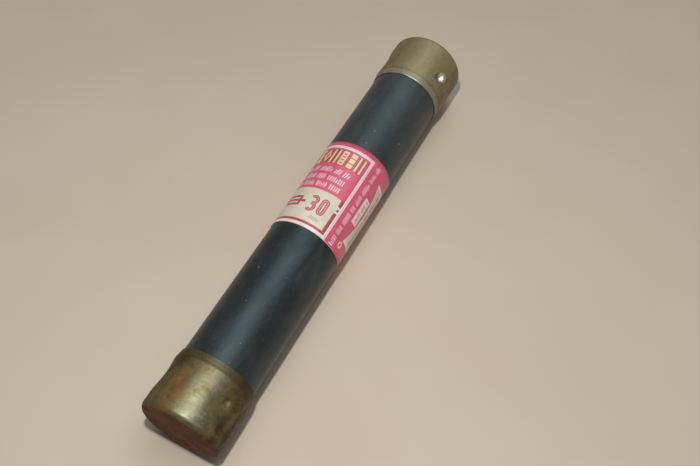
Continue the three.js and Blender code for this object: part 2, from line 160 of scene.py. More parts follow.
# ---------------------------------------------------------------- material helpers
class Nodes:
    """A material's node tree, with a short call for each kind of node that the materials use."""

    def __init__(self, name):
        self.material = bpy.data.materials.new(name)
        self.material.use_nodes = True
        self.tree = self.material.node_tree
        self.tree.nodes.clear()
        place = self.add("ShaderNodeTexCoord").outputs["Object"]
        self.place = self.vector("SCALE", place, scale=1 / MM)

    def add(self, kind, **settings):
        node = self.tree.nodes.new(kind)
        for key, value in settings.items():
            setattr(node, key, value)
        return node

    def feed(self, socket, value):
        if isinstance(value, bpy.types.NodeSocket):
            self.tree.links.new(value, socket)
        elif value is not None:
            socket.default_value = value

    def vector(self, operation, a, b=None, scale=None, output="Vector"):
        node = self.add("ShaderNodeVectorMath", operation=operation)
        self.feed(node.inputs[0], a)
        self.feed(node.inputs[1], b)
        if scale is not None:
            self.feed(node.inputs["Scale"], scale)
        return node.outputs[output]

    def stretch(self, x, y, z, shift=0.0):
        """The place in millimetres, with each axis scaled and the whole shifted."""
        scaled = self.vector("MULTIPLY", self.place, (x, y, z))
        return self.vector("ADD", scaled, (shift, 0.7 * shift, 1.3 * shift))

    def distance(self, point, place=None):
        return self.vector("DISTANCE", place or self.place, point, output="Value")

    def folded(self):
        """The place with the -X half turned over on to the +X half."""
        parts = self.add("ShaderNodeSeparateXYZ")
        self.feed(parts.inputs[0], self.place)
        joined = self.add("ShaderNodeCombineXYZ")
        self.feed(joined.inputs["X"], self.math("ABSOLUTE", parts.outputs["X"]))
        self.feed(joined.inputs["Y"], parts.outputs["Y"])
        self.feed(joined.inputs["Z"], parts.outputs["Z"])
        return joined.outputs[0]

    def math(self, operation, a, b=None, clamp=False):
        node = self.add("ShaderNodeMath", operation=operation, use_clamp=clamp)
        self.feed(node.inputs[0], a)
        self.feed(node.inputs[1], b)
        return node.outputs[0]

    def times(self, a, b):
        return self.math("MULTIPLY", a, b)

    def plus(self, a, b):
        return self.math("ADD", a, b)

    def across(self):
        """The X coordinate in millimetres."""
        node = self.add("ShaderNodeSeparateXYZ")
        self.feed(node.inputs[0], self.place)
        return node.outputs["X"]

    def along(self):
        """The distance from the middle of the fuse, on either side, in millimetres."""
        return self.math("ABSOLUTE", self.across())

    def noise(self, vector, detail=4.0, roughness=0.55, distortion=0.0):
        node = self.add("ShaderNodeTexNoise")
        self.feed(node.inputs["Vector"], vector)
        node.inputs["Scale"].default_value = 1.0
        node.inputs["Detail"].default_value = detail
        node.inputs["Roughness"].default_value = roughness
        node.inputs["Distortion"].default_value = distortion
        return node.outputs["Fac"]

    def cells(self, vector, output="Distance"):
        node = self.add("ShaderNodeTexVoronoi")
        self.feed(node.inputs["Vector"], vector)
        node.inputs["Scale"].default_value = 1.0
        return node.outputs[output]

    def step(self, value, low, high, start=0.0, end=1.0):
        """value taken smoothly from start at low to end at high."""
        node = self.add("ShaderNodeMapRange", interpolation_type="SMOOTHSTEP")
        self.feed(node.inputs["Value"], value)
        for key, number in (("From Min", low), ("From Max", high), ("To Min", start), ("To Max", end)):
            node.inputs[key].default_value = number
        return node.outputs["Result"]

    def mix(self, share, a, b, blend="MIX"):
        node = self.add("ShaderNodeMix", data_type="RGBA", blend_type=blend)
        self.feed(node.inputs["Factor"], share)
        self.feed(node.inputs[6], a)
        self.feed(node.inputs[7], b)
        return node.outputs[2]

    def bump(self, height, distance, strength=1.0, normal=None):
        """A bump from a height of 0 to 1, with its distance in millimetres."""
        node = self.add("ShaderNodeBump")
        self.feed(node.inputs["Height"], height)
        self.feed(node.inputs["Normal"], normal)
        node.inputs["Distance"].default_value = distance * MM
        node.inputs["Strength"].default_value = strength
        return node.outputs["Normal"]

    def finish(self, **inputs):
        shader = self.add("ShaderNodeBsdfPrincipled")
        for key, value in inputs.items():
            self.feed(shader.inputs[key.replace("_", " ")], value)
        output = self.add("ShaderNodeOutputMaterial")
        self.tree.links.new(shader.outputs[0], output.inputs["Surface"])
        return self.material


def rgb(red, green, blue):
    return (red, green, blue, 1.0)


# ---------------------------------------------------------------- materials
def floor_material():
    n = Nodes("pale_floor")
    tone = n.noise(n.stretch(0.02, 0.02, 0.02), detail=3)
    colour = n.mix(n.step(tone, 0.3, 0.7), rgb(0.60, 0.51, 0.40), rgb(0.63, 0.54, 0.43))
    return n.finish(Base_Color=colour, Roughness=0.85)


def tube_material():
    """Black vulcanised fibre: a soft sheen, faint lengthwise drawing marks, dust and small nicks.

    It is lighter towards +X: thicker dust there, and painted shade that darkens the -X end."""
    n = Nodes("black_fibre")
    cloud = n.noise(n.stretch(0.10, 0.25, 0.25), detail=5, distortion=0.6)
    grain = n.noise(n.stretch(0.9, 7.0, 7.0, 3.0), detail=3)
    mottle = n.noise(n.stretch(1.6, 1.6, 1.6, 9.0), detail=6, roughness=0.7)
    far_end = n.step(n.across(), -30.0, 45.0)
    base = n.mix(n.step(cloud, 0.35, 0.68), rgb(0.017, 0.019, 0.019), rgb(0.027, 0.028, 0.026))
    # Lighter towards +X: thicker dust, and painted shade that keeps the -X end dark.
    dust_film_and_shade = n.plus(n.times(far_end, 0.45), n.step(cloud, 0.4, 0.8, -0.10, 0.16))
    base = n.mix(n.math("MAXIMUM", dust_film_and_shade, 0.0), base, rgb(0.082, 0.094, 0.092))
    base = n.mix(n.step(mottle, 0.55, 0.75, 0.0, 0.5), base, rgb(0.10, 0.10, 0.09))
    cell = n.stretch(0.45, 0.45, 0.45, 5.0)
    rare = n.step(n.cells(cell, "Color"), 0.74, 0.76)
    dust = n.times(n.step(n.cells(cell), 0.11, 0.05), rare)
    base = n.mix(n.times(dust, 0.8), base, rgb(0.34, 0.33, 0.30))
    rough = n.step(mottle, 0.3, 0.7, 0.36, 0.45)
    rough = n.plus(rough, n.step(grain, 0.2, 0.8, -0.04, 0.05))
    height = n.plus(n.times(mottle, 0.6), n.times(grain, 0.4))
    normal = n.bump(height, 0.03, 0.4)
    normal = n.bump(cloud, 0.12, 0.4, normal)
    normal = n.bump(dust, 0.06, 0.5, normal)
    return n.finish(
        Base_Color=base,
        Roughness=rough,
        Normal=normal,
        Specular_IOR_Level=0.58,
        Specular_Tint=rgb(0.55, 0.88, 1.0),
    )


# Spots in each stake's pit: how far towards the end of the fuse, how many degrees round it, and the
# radius. A pit is polished, with a painted glint, on the side away from the rim, and has painted shade on
# the side next to it.
POLISHED_GLINT_SPOT = (0.55, -3.5, 1.7)
SHADED_SPOT = (-0.9, 5.0, 1.5)
SPOT_DEPTH = 0.6
SPOT_BLUR = 0.8


def pit_spots(n, spot):
    """A mask of the same spot in all the stakes' pits."""
    x, turn, size = spot
    radius = FERRULE_RADIUS - SPOT_DEPTH
    mask = 0.0
    for stake in STAKE_ANGLES:
        angle = math.radians(stake + turn)
        middle = (STAKE_X + x, radius * math.sin(angle), radius * math.cos(angle))
        mask = n.plus(mask, n.step(n.distance(middle, n.folded()), size, size - SPOT_BLUR))
    return mask


def end_face(n, broad, fine, ends):
    """The end face's mask, the ring marks of its spinning and its colour: tarnish, darkened and reddened as
    painted shade and a painted reflection.
    """
    face = n.step(n.along(), FERRULE_END - 0.7, FERRULE_END - 0.1)
    from_axis = n.vector("LENGTH", n.stretch(0.0, 1.0, 1.0), output="Value")
    ring = n.add("ShaderNodeCombineXYZ")
    n.feed(ring.inputs["X"], n.times(from_axis, 2.6))
    n.feed(ring.inputs["Y"], n.times(broad, 1.5))
    spun = n.noise(ring.outputs[0], detail=5, roughness=0.7)
    tarnish_and_shade = n.plus(n.plus(n.times(broad, 0.45), n.times(fine, 0.3)), n.times(spun, 0.25))
    return face, spun, n.mix(n.step(tarnish_and_shade, 0.40, 0.62), ends[0], ends[1])


def heat_stain(n, colour, middle, fine):
    """The colour with an orange patch round middle, twice as long along the fuse as across it."""
    shrink = (0.5, 1.0, 1.0)
    centre = tuple(a * b for a, b in zip(middle, shrink, strict=True))
    near = n.distance(centre, n.vector("MULTIPLY", n.place, shrink))
    near = n.plus(near, n.times(fine, 1.6))
    return n.mix(n.step(near, 4.6, 1.0, 0.0, 0.85), colour, rgb(0.31, 0.155, 0.048))


def ferrule_material(name, shift, metal, patina, dark, rim, ends, finish, patch=None):
    """Old brass: bare metal shows through a thin patina, mostly along the side where the highlight falls.
    That band is partly rubbed wear and partly painted highlight, and the other sides are painted darker as
    shade.

    metal is the (pale, yellow) colours of the brass, rim the rim's (colour, share), ends the (dark,
    light) colours of the end face, which are tarnish with painted shade and a painted reddish reflection,
    and finish the (lowest roughness, metallic share, specular level, coat, polish in the stakes' pits
    and strength of the painted glint and shade there and of the painted highlight on the rim's lip).
    patch is the middle of a heat-stained orange patch, in millimetres."""
    shine, metallic, gloss, coat, burnish_glint_and_shade = finish
    n = Nodes(name)
    broad = n.noise(n.stretch(0.16, 0.16, 0.16, shift), detail=5, roughness=0.55, distortion=0.8)
    fine = n.noise(n.stretch(0.9, 0.9, 0.9, shift), detail=6, roughness=0.65, distortion=0.4)
    rubbed = n.noise(n.stretch(6.0, 0.25, 0.25, shift), detail=4, roughness=0.6)
    drawn = n.noise(n.stretch(0.25, 3.2, 3.2, shift), detail=3)
    pits = n.noise(n.stretch(3.0, 3.0, 3.0, shift), detail=3, roughness=0.5)

    top = (0.0, math.sin(LIT_SIDE_ANGLE), math.cos(LIT_SIDE_ANGLE))
    upward = n.vector("DOT_PRODUCT", n.place, top, output="Value")
    # The side where the highlight falls is left barer and lighter and the other sides darker: partly rubbed
    # wear, partly painted highlight and painted shade.
    rubbed_and_lit = n.step(upward, 0.62 * FERRULE_RADIUS, 1.0 * FERRULE_RADIUS, 0.0, 0.24)
    wear_and_light = n.plus(n.plus(n.times(broad, 0.62), n.times(fine, 0.38)), rubbed_and_lit)
    clean = n.step(wear_and_light, 0.40, 0.80)
    colour = n.mix(n.step(wear_and_light, 0.38, 0.72), patina, metal[1])
    colour = n.mix(n.step(wear_and_light, 0.58, 0.88), colour, metal[0])
    # Darker where there is less wear, so mostly on the shaded sides: partly stain, partly painted shade.
    stain_and_shade = n.step(n.plus(wear_and_light, n.times(rubbed, 0.2)), 0.68, 0.42)
    colour = n.mix(n.times(stain_and_shade, 0.4), colour, dark)
    colour = n.mix(n.step(n.plus(fine, n.times(pits, 0.3)), 0.56, 0.78, 0.0, 0.3), colour, patina)
    if patch:
        colour = heat_stain(n, colour, patch, fine)
    wavy = n.plus(n.along(), n.times(fine, 1.2))
    edge = n.step(wavy, FERRULE_RIM + 2.5, FERRULE_RIM + 2.1)
    # The rim's pale band is stronger on the lit top than on the sides: a real band with painted light and
    # shade on it.
    rim_share_by_light = n.step(upward, 0.2 * FERRULE_RADIUS, 0.9 * FERRULE_RADIUS, 0.45 * rim[1], rim[1])
    colour = n.mix(n.times(edge, rim_share_by_light), colour, rim[0])
    seam = n.math("SUBTRACT", n.step(wavy, FERRULE_RIM + 3.2, FERRULE_RIM + 2.6), edge, clamp=True)
    colour = n.mix(n.times(seam, 0.35), colour, dark)
    face, spun, tarnish_and_shade = end_face(n, broad, fine, ends)
    # The end face's dark reddish colour: tarnish, with painted shade and a painted reddish reflection.
    colour = n.mix(n.times(face, 0.92), colour, tarnish_and_shade)
    spots = n.stretch(1.3, 1.3, 1.3, shift)
    speck = n.times(n.step(n.cells(spots), 0.16, 0.07), n.step(n.cells(spots, "Color"), 0.6, 0.65))
    colour = n.mix(n.times(speck, 0.6), colour, dark)

    # A painted highlight along the top of the rim's edge, which is also polished there.
    lip = n.step(n.along(), FERRULE_RIM + 0.35, FERRULE_RIM + 0.1)
    lip = n.times(lip, n.step(upward, 0.90 * FERRULE_RADIUS, 0.96 * FERRULE_RADIUS, 0.0, 0.7))
    # Polish in the pits and on the rim's lip, which also carries their painted glint and highlight; painted
    # shade on the pits' walls next to the rim.
    polish_and_glint = n.plus(pit_spots(n, POLISHED_GLINT_SPOT), lip)
    shaded = n.times(pit_spots(n, SHADED_SPOT), burnish_glint_and_shade)
    polish_and_glint = n.times(polish_and_glint, n.math("SUBTRACT", burnish_glint_and_shade, n.times(shaded, 0.8)))
    # Painted glint and highlight: a pale colour where the metal is polished.
    colour = n.mix(polish_and_glint, colour, rgb(0.84, 0.84, 0.74))
    # Painted shade on the pits' walls next to the rim.
    colour = n.mix(n.times(shaded, 0.7), colour, rgb(0.05, 0.055, 0.025))
    bare = n.times(clean, n.step(face, 0.0, 1.0, metallic, 0.2))
    bare = n.math("MAXIMUM", bare, polish_and_glint)
    rough = n.step(fine, 0.35, 0.65, shine + 0.08, shine)
    rough = n.plus(rough, n.step(rubbed, 0.3, 0.7, -0.03, 0.05))
    rough = n.plus(rough, n.times(polish_and_glint, -0.16))
    rough = n.plus(rough, n.times(face, 0.2))
    height = n.plus(n.plus(n.times(pits, 0.5), n.times(rubbed, 0.2)), n.times(drawn, 0.3))
    normal = n.bump(height, 0.03, 0.4)
    normal = n.bump(broad, 0.3, 0.4, normal)
    normal = n.bump(n.times(spun, face), 0.06, 0.5, normal)
    return n.finish(
        Base_Color=colour,
        Metallic=bare,
        Roughness=rough,
        Normal=normal,
        Specular_IOR_Level=gloss,
        Coat_Weight=coat,
        Coat_Roughness=shine,
    )


def print_material():
    """Varnished print on paper. The colour of each printed shape is the mesh's own attribute."""
    n = Nodes("label_print")
    ink = n.add("ShaderNodeAttribute", attribute_name="ink").outputs["Color"]
    fibre = n.noise(n.stretch(3.5, 3.5, 3.5), detail=5, roughness=0.7)
    cloud = n.noise(n.stretch(0.25, 0.25, 0.25, 4.0), detail=4)
    colour = n.mix(n.step(cloud, 0.3, 0.7, 0.0, 0.35), ink, rgb(0.70, 0.55, 0.52), "MULTIPLY")
    colour = n.mix(n.step(fibre, 0.35, 0.75, 0.0, 0.22), colour, rgb(0.75, 0.68, 0.60))
    thin = n.step(n.noise(n.stretch(1.1, 1.1, 1.1, 8.0), detail=8, roughness=0.8), 0.64, 0.72)
    colour = n.mix(n.times(thin, 0.6), colour, rgb(0.72, 0.62, 0.50))
    rough = n.step(fibre, 0.3, 0.7, 0.30, 0.48)
    normal = n.bump(fibre, 0.02, 0.5)
    normal = n.bump(cloud, 0.25, 0.4, normal)
    return n.finish(
        Base_Color=colour,
        Roughness=rough,
        Normal=normal,
        Coat_Weight=0.35,
        Coat_Roughness=0.22,
    )


def plain_material(name, low, high, metallic, roughness, size=1.0, relief=0.03, stretch=1.0):
    """A material that drifts between two colours, with a fine relief. size is in marks per millimetre."""
    n = Nodes(name)
    marks = n.noise(n.stretch(size / stretch, size, size), detail=6, roughness=0.65)
    fine = n.noise(n.stretch(6 * size / stretch, 6 * size, 6 * size, 2.0), detail=3)
    colour = n.mix(n.step(marks, 0.3, 0.7), rgb(*low), rgb(*high))
    rough = n.step(marks, 0.3, 0.7, roughness - 0.08, roughness + 0.08)
    normal = n.bump(n.plus(n.times(marks, 0.5), n.times(fine, 0.5)), relief, 0.6)
    return n.finish(Base_Color=colour, Metallic=metallic, Roughness=rough, Normal=normal)


# ---------------------------------------------------------------- mesh helpers
SHARP_EDGE = 38  # degrees between faces, above which an edge is left sharp


def mesh_piece(name, points, faces, materials):
    mesh = bpy.data.meshes.new(name)
    mesh.from_pydata([Vector(p) * MM for p in points], [], faces)
    for material in materials:
        mesh.materials.append(material)
    build = bmesh.new()
    build.from_mesh(mesh)
    bmesh.ops.recalc_face_normals(build, faces=build.faces)
    build.to_mesh(mesh)
    build.free()
    mesh.shade_smooth()
    mesh.set_sharp_from_angle(angle=math.radians(SHARP_EDGE))
    return add_object(name, mesh)


def belongs(piece, body, slot, *nodes):
    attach(piece, body)
    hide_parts(*nodes)


def revolve(name, profile, segments, material, shape=None, closed=False):
    """A skin round the X axis from a profile of (x, radius) points.

    It runs from one end of the axis to the other, or is closed on itself. shape, if given, moves
    each point: it takes x, the angle and the radius, and returns the new x and radius."""
    points = []
    rings = []
    for x, radius in profile:
        ring = []
        for step in range(1 if radius < 1e-6 else segments):
            angle = 2 * math.pi * step / segments
            moved = shape(x, angle, radius) if shape and radius > 1e-6 else (x, radius)
            ring.append(len(points))
            points.append((moved[0], moved[1] * math.sin(angle), moved[1] * math.cos(angle)))
        rings.append(ring)
    faces = []
    neighbours = list(zip(rings, rings[1:] + rings[:1], strict=True))
    for one, other in neighbours if closed else neighbours[:-1]:
        for step in range(segments):
            following = (step + 1) % segments
            if len(one) == 1:
                faces.append((one[0], other[following], other[step]))
            elif len(other) == 1:
                faces.append((one[step], one[following], other[0]))
            else:
                faces.append((one[step], one[following], other[following], other[step]))
    return mesh_piece(name, points, faces, [material])


def line(start, end, spacing):
    """Evenly spaced (x, radius) points from start up to, but not including, end."""
    steps = max(1, round(math.dist(start, end) / spacing))
    return [
        (start[0] + (end[0] - start[0]) * k / steps, start[1] + (end[1] - start[1]) * k / steps)
        for k in range(steps)
    ]


def arc(centre, size, start, end, steps):
    """Points of an arc in the (x, radius) plane, its angles in degrees from +X."""
    turns = [math.radians(start + (end - start) * k / steps) for k in range(steps + 1)]
    return [(centre[0] + size * math.cos(a), centre[1] + size * math.sin(a)) for a in turns]


def smooth(value):
    value = min(1.0, max(0.0, value))
    return value * value * (3 - 2 * value)


def wander(*place):
    """Smooth noise from -1 to 1."""
    return noise.noise(Vector(place))


# ---------------------------------------------------------------- ferrules
TAPER = 0.15
TAPER_LENGTH = 9.0
RIM_DROP = 0.28
RIM_LENGTH = 2.3
RIM_BORE = TUBE_RADIUS + 0.06
WALL = 0.6
CORNER = 1.6
INNER_CORNER = 0.8
RIM_ROUND = 0.13
GROOVE_PLACE = 1.55  # from the rim
GROOVE_WIDTH = 0.28
GROOVE_DEPTH = 0.05
FERRULE_SEGMENTS = 320
FLAT_RADIUS = 6  # the stakes leave the end face flat out to here
FLAT_BLEND = 3
STEPS_ALONG = 66


def stake_press(x, angle, side):
    """How far the stakes press the metal in: a small pit in the middle of a broad shallow hollow."""
    half_length, half_width, pit_depth = PITS[side]
    depth = 0.0
    for stake, hollow_depth in zip(STAKE_ANGLES, HOLLOWS[side], strict=True):
        turn = (angle - math.radians(stake) + math.pi) % (2 * math.pi) - math.pi
        around_it, along_it = turn * FERRULE_RADIUS, abs(x) - STAKE_X
        away = math.hypot(around_it, along_it) / HOLLOW_RADIUS
        depth += hollow_depth * max(0.0, 1 - away**2) ** 2
        away = math.hypot(around_it / half_width, along_it / half_length)
        depth += pit_depth * max(0.0, 1 - away**2) ** 1.3
    return depth


def ferrule_outside(x):
    """The ferrule's radius at a distance from its rim, before any dents."""
    slim = TAPER * (1 - smooth(x / TAPER_LENGTH))
    fall = RIM_DROP * (1 - smooth(x / RIM_LENGTH))
    groove = GROOVE_DEPTH * math.exp(-(((x - GROOVE_PLACE) / GROOVE_WIDTH) ** 2))
    return FERRULE_RADIUS - slim - fall - groove


def ferrule_profile():
    """From the middle of the end face, over the outside, round the rim and along the inside."""
    end = (FERRULE_END, 0.0)
    corner = (FERRULE_END - CORNER, FERRULE_RADIUS - CORNER)
    profile = line(end, (FERRULE_END, corner[1]), 0.4)
    profile += arc(corner, CORNER, 0, 90, 14)
    straight = corner[0] - FERRULE_RIM - RIM_ROUND
    for k in range(1, STEPS_ALONG):
        x = FERRULE_RIM + RIM_ROUND + straight * (1 - k / STEPS_ALONG)
        profile.append((x, ferrule_outside(x - FERRULE_RIM)))
    top = ferrule_outside(RIM_ROUND)
    profile += arc((FERRULE_RIM + RIM_ROUND, top - RIM_ROUND), RIM_ROUND, 90, 180, 5)
    profile.append((FERRULE_RIM, RIM_BORE))
    inside = FERRULE_RADIUS - WALL
    profile += line((FERRULE_RIM + 0.3, RIM_BORE), (FERRULE_RIM + RIM_LENGTH, inside), 0.5)
    floor_corner = (CUP_FLOOR - INNER_CORNER, inside - INNER_CORNER)
    profile += line((FERRULE_RIM + RIM_LENGTH, inside), (floor_corner[0], inside), 0.4)
    profile += arc(floor_corner, INNER_CORNER, 90, 0, 5)
    profile.append((CUP_FLOOR, 0.0))
    return profile


def make_ferrule(side, name, node, material):
    def shape(x, angle, radius):
        y, z = math.sin(angle), math.cos(angle)
        outer = radius > RIM_BORE + 0.02 and x > FERRULE_RIM + 0.01
        lumps = 0.03 * wander(side * 0.3 * x, 2.2 * y, 2.2 * z) if outer else 0.0
        ring_wear = 0.012 * wander(2.5 * x, 5.0 * y, 5.0 * z) if outer else 0.0
        pressed = stake_press(x, angle, side) * smooth((radius - FLAT_RADIUS) / FLAT_BLEND)
        nearness = 1 - smooth((x - FERRULE_RIM) / 1.2)
        ragged = 0.10 * nearness * wander(3.0 * y, 3.0 * z, 5.0 + side)
        low = -abs(lumps + ring_wear) if outer else 0.0
        return side * (x + ragged), radius + low - pressed

    profile = ferrule_profile()
    first, last = (side * profile[0][0], 0.0), (side * profile[-1][0], 0.0)
    piece = revolve(name, [first] + profile[1:-1] + [last], FERRULE_SEGMENTS, material, shape)
    belongs(piece, "casing", "ferrule_brass", node)


# ---------------------------------------------------------------- casing tube
TUBE_SEGMENTS = 224


def make_tube(material):
    chamfer = 0.3
    end = TUBE_END
    profile = line((-end, TUBE_BORE), (-end, TUBE_RADIUS - chamfer), 0.4)
    profile += line((-end, TUBE_RADIUS - chamfer), (-end + chamfer, TUBE_RADIUS), 0.3)
    profile += line((-end + chamfer, TUBE_RADIUS), (end - chamfer, TUBE_RADIUS), 0.75)
    profile += line((end - chamfer, TUBE_RADIUS), (end, TUBE_RADIUS - chamfer), 0.3)
    profile += line((end, TUBE_RADIUS - chamfer), (end, TUBE_BORE), 0.4)
    profile += line((end, TUBE_BORE), (-end, TUBE_BORE), 4.0)

    def shape(x, angle, radius):
        if radius < TUBE_RADIUS - 0.01:
            return x, radius
        y, z = math.sin(angle), math.cos(angle)
        waves = 0.02 * wander(0.05 * x, 1.3 * y, 1.3 * z) + 0.008 * wander(0.3 * x, 4 * y, 4 * z)
        side = 1 if x > 0 else -1
        return x, radius - abs(waves) - stake_press(x, angle, side)

    piece = revolve("tube_body", profile, TUBE_SEGMENTS, material, shape, closed=True)
    belongs(piece, "casing", "fibre_black", "casing_tube")


# ---------------------------------------------------------------- label
# The print is laid out flat: u is along the fuse, and v is along the wrap, as +angle times radius.
PAPER = 0.09
WRAP_RADIUS = TUBE_RADIUS + 0.04
LAP = 2.0
LAP_RAMP = 1.5
WRAP = 2 * math.pi * (WRAP_RADIUS + PAPER)
WRAP_START = -WRAP / 2 - LAP
WRAP_END = WRAP / 2
LABEL_LENGTH = LABEL_END - LABEL_START
BENDS = 180  # steps round the wrap
RIBS = 20  # steps along the fuse
FRAME_WIDTH = 0.86
MIRROR_ANGLE = 28.5  # the two side panels mirror each other about this angle round the fuse

INKS = {
    "red": (0.74, 0.065, 0.175),
    "cream": (0.98, 0.81, 0.79),
    "panel": (0.76, 0.71, 0.57),
    "pink": (0.88, 0.47, 0.47),
    "yellow": (0.92, 0.72, 0.38),
    "crimson": (0.45, 0.028, 0.055),
    "grey": (0.25, 0.26, 0.19),
    "brown": (0.30, 0.14, 0.11),
    "rose": (0.70, 0.34, 0.36),
    "edge": (0.66, 0.44, 0.44),
}


def box(u0, u1, v0, v1):
    return [(u0, v0), (u1, v0), (u1, v1), (u0, v1)]


def rounded_box(u0, u1, v0, v1, radius, steps=4):
    points = []
    corners = ((u1, v1, 0, -1, -1), (u0, v1, 90, 1, -1), (u0, v0, 180, 1, 1), (u1, v0, 270, -1, 1))
    for u, v, start, inward_u, inward_v in corners:
        for k in range(steps + 1):
            angle = math.radians(start + 90 * k / steps)
            centre_u, centre_v = u + inward_u * radius, v + inward_v * radius
            points.append((centre_u + radius * math.cos(angle), centre_v + radius * math.sin(angle)))
    return points


def around(degrees):
    """The place along the wrap of an angle round the fuse."""
    return math.radians(degrees) * (WRAP_RADIUS + PAPER)


def bars(ink, across, start, end, rng, along_wrap, stroke=(0.2, 0.34), gap=0.34, lean=0.0):
    """A row of upright strokes in word-like groups, which stands for a line of print.

    across is the row's (low, high). The row runs from start to end, along the wrap or along the
    fuse. lean shifts each stroke's top against the row's direction."""
    shapes = []
    low, high = across
    at = start
    while at < end - stroke[1]:
        for _ in range(rng.randint(3, 8)):
            width = rng.uniform(*stroke)
            if at + width > end:
                break
            top = high if rng.random() < 0.6 else high - 0.28 * (high - low)
            if along_wrap:
                outline = [(low, at), (top, at - lean), (top, at + width - lean), (low, at + width)]
            else:
                outline = box(at, at + width, low, top)
            shapes.append((ink, outline))
            at += width + gap
        at += 1.8 * gap
    return shapes


def frame_shapes(u0, u1, v0, v1, width, outer, inner):
    return [
        (outer, box(u0, u1, v0, v1)),
        (inner, box(u0 + width, u1 - width, v0 + width, v1 - width)),
    ]


def stroke_band(centre, radii, start, end, width, steps=12):
    """A curved stroke of one width along part of an ellipse in the (u, v) plane."""
    outer, inner = [], []
    for k in range(steps + 1):
        angle = math.radians(start + (end - start) * k / steps)
        for points, grow in ((outer, width / 2), (inner, -width / 2)):
            u = centre[0] + (radii[0] + grow) * math.cos(angle)
            v = centre[1] + (radii[1] + grow) * math.sin(angle)
            points.append((u, v))
    outline = outer + inner[::-1]
    return outline if end > start else outline[::-1]


def stadium(u0, u1, v0, v1):
    return rounded_box(u0, u1, v0, v1, (v1 - v0) / 2, steps=6)


def rating_shapes(u0, u1, v):
    """The rating numerals, with their tops towards +u, set out from v towards +v."""
    width, pen, inlay = 2.15, 0.88, 0.16
    shapes = []
    layers = (("crimson", 0), ("pink", (pen - inlay) / 2), ("crimson", (pen + inlay) / 2), ("panel", pen))
    for ink, inset in layers:
        shapes.append((ink, stadium(u0 + inset, u1 - inset, v - width + inset, v - inset)))
    radii = ((u1 - u0 - pen) / 4, 0.92)
    for ink, thick in (("crimson", pen), ("pink", inlay)):
        for sign, start, end in ((1, -195, 50), (-1, -230, 15)):
            centre = ((u0 + u1) / 2 + sign * radii[0], v + 0.55 + radii[1] + pen / 2)
            shapes.append((ink, stroke_band(centre, radii, start, end, thick)))
    return shapes


def fuse_symbol(u, v0, v1):
    """The general symbol of a fuse: a box with a line through it."""
    half, pen = 1.6, 0.72
    inset = 1.3
    shapes = [("crimson", box(u - half, u + half, v0 + inset, v1 - inset))]
    shapes.append(("panel", box(u - half + pen, u + half - pen, v0 + inset + pen, v1 - inset - pen)))
    shapes.append(("crimson", box(u - pen / 2, u + pen / 2, v0, v1)))
    return shapes


def main_panel(rng):
    """The framed part: a title band, three rows of print and a pale panel with the rating."""
    near, far = around(-38.5), around(96)
    left, right = LABEL_START + 0.12, LABEL_END - 1.4
    shapes = [("edge", box(LABEL_START, left, around(-60), around(120)))]
    shapes += frame_shapes(left, right, near, far, FRAME_WIDTH, "cream", "red")
    rule, inset = 0.1, 0.3
    rule_right, rule_near = right - inset, near + inset
    shapes.append(("rose", box(rule_right - rule, rule_right, rule_near, far - inset)))
    shapes.append(("rose", box(left + inset, rule_right - rule, rule_near, rule_near + rule)))
    text_near, text_far = around(-28), far - (around(-28) - near)
    shapes += title_band(12.2, 16.9, text_near, text_far, rng)
    rows = ((9.2, 10.9, 0.35), (6.6, 8.2, 0.0), (4.1, 5.7, 0.0))
    for low, high, lean in rows:
        start, end = around(-17), around(76)
        shapes += bars("cream", (low, high), start, end, rng, True, lean=lean)
    panel_left, panel_right = left + 1.6, 3.2
    inner = (left + FRAME_WIDTH, panel_right + 0.1, near + FRAME_WIDTH, far - FRAME_WIDTH)
    shapes.append(("crimson", box(*inner)))
    shapes.append(("panel", box(panel_left, panel_right, text_near, text_far)))
    shapes.append(("cream", box(-0.8, 1.2, near + 0.6, text_near + 0.1)))
    shapes.append(("crimson", box(-0.2, 0.6, near + 0.95, near + 1.5)))
    shapes += rating_shapes(-3.9, 1.2, around(-4.5))
    shapes += fuse_symbol(-1.35, around(19), around(64))
    shapes += bars("grey", (-5.8, -4.7), around(-15), around(6), rng, True, (0.14, 0.22), 0.28)
    return shapes


def title_band(low, high, start, end, rng):
    """A geometric border where a maker's title would be: lozenges, stems, squares and grilles."""
    shapes = []
    at, pen, wide, pitch = start, 0.52, 1.85, 2.45
    middle = (low + high) / 2
    kind = 0
    while at < end - 2.0:
        kind = (kind + rng.randint(1, 3)) % 4
        centre = at + wide / 2
        ground = rounded_box(low - 0.18, high + 0.12, at - 0.16, at + wide + 0.18, 0.3)
        shapes.append(("crimson", ground))
        if kind == 0:
            for ink, inset in (("yellow", 0.0), ("red", pen)):
                half = wide / 2 - inset * 0.85
                points = (low + 2 * inset, middle, high - 2 * inset)
                lozenge = [(points[0], centre), (points[1], centre - half)]
                shapes.append((ink, [*lozenge, (points[2], centre), (points[1], centre + half)]))
        elif kind == 1:
            for stem in (at, at + wide - pen):
                shapes.append(("yellow", box(low, high, stem, stem + pen)))
        elif kind == 2:
            side = (high - low - 0.5) / 3
            for k in range(3):
                foot = low + k * (side + 0.25)
                shapes.append(("yellow", box(foot, foot + side, at + 0.15, at + wide - 0.15)))
        else:
            shapes.append(("yellow", rounded_box(low, high, at + 0.1, at + wide - 0.1, 0.3)))
            for k in range(4):
                foot = low + 0.55 + k * (high - low - 0.7) / 4
                shapes.append(("red", box(foot, foot + 0.42, at + 0.5, at + wide - 0.5)))
        at += pitch
    return shapes


def banner(u0, u1, top, dip, bottom, steps=16):
    """A panel whose top edge dips in the middle by dip."""
    edge = []
    for k in range(steps + 1):
        share = k / steps
        edge.append((u0 + (u1 - u0) * share, top - dip * (1 - (2 * share - 1) ** 2)))
    return [(u0, bottom), (u1, bottom)] + edge[::-1]


